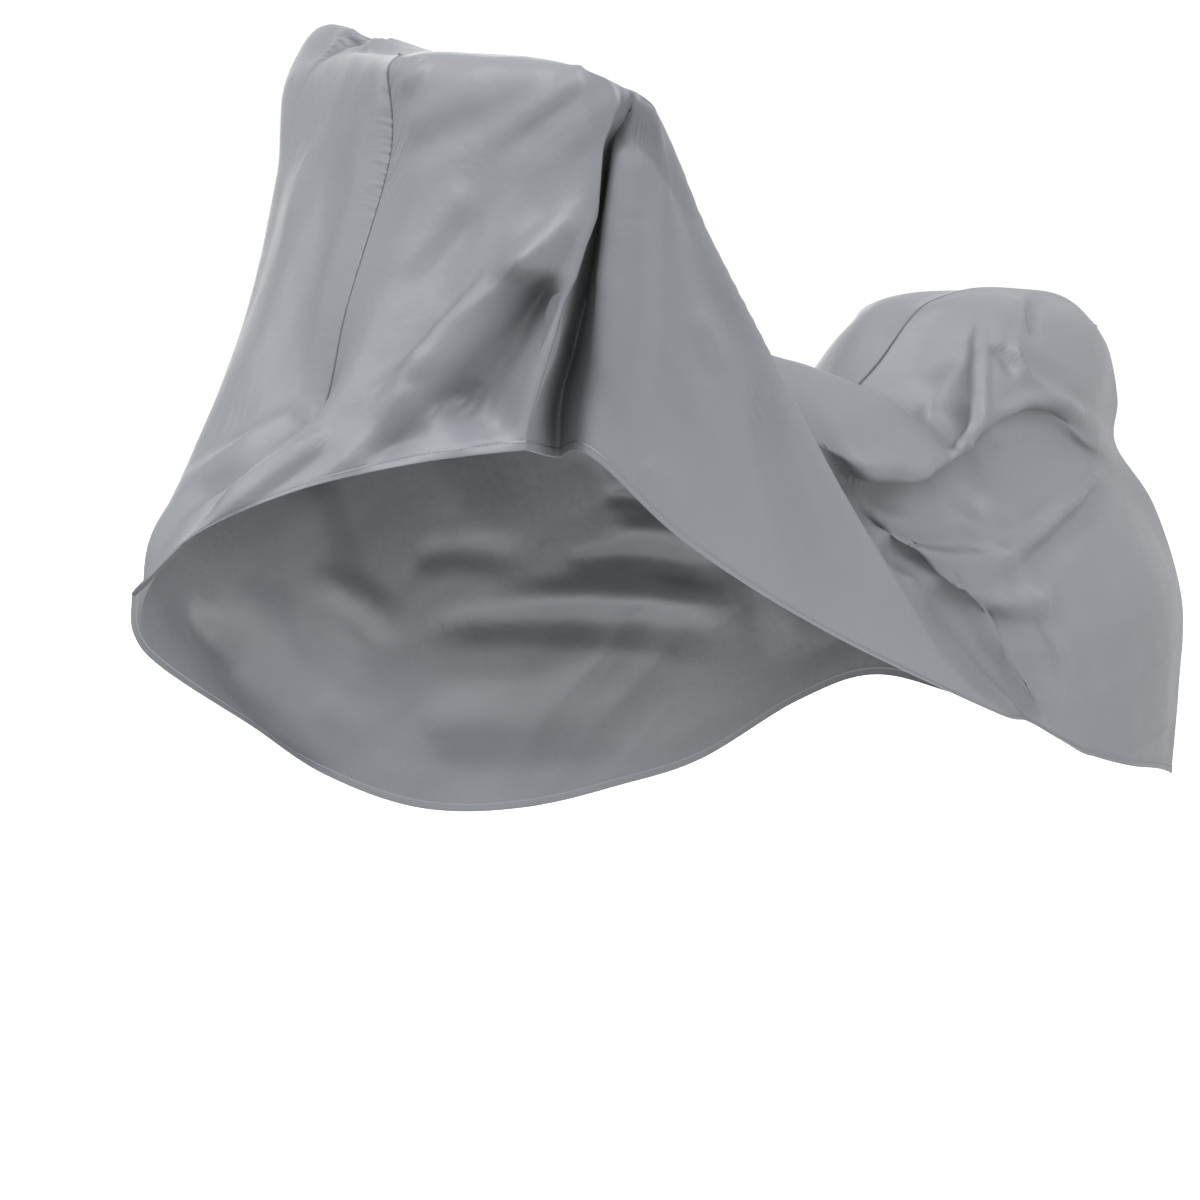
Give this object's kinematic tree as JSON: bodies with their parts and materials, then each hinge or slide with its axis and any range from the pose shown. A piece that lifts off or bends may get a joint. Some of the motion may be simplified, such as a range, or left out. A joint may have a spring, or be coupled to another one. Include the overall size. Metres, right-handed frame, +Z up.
{
  "type": "bicycle cover",
  "caption": "Fitted bicycle cover of thin woven cloth, side panels sewn along a centre seam, draped from a tall front peak over a low back line to a rounded rear hump.",
  "frame": {"origin": "hang point under the top of the front peak, on the centre seam's plane", "axes": "+X towards the tail, +Y towards the right panel, +Z up"},
  "size_m": [1.6121, 0.6021, 0.9417],
  "materials": {
    "cover_cloth": "satin woven polyester"
  },
  "bodies": {
    "root": {"left_panel": "cover_cloth", "right_panel": "cover_cloth"}
  },
  "joints": []
}
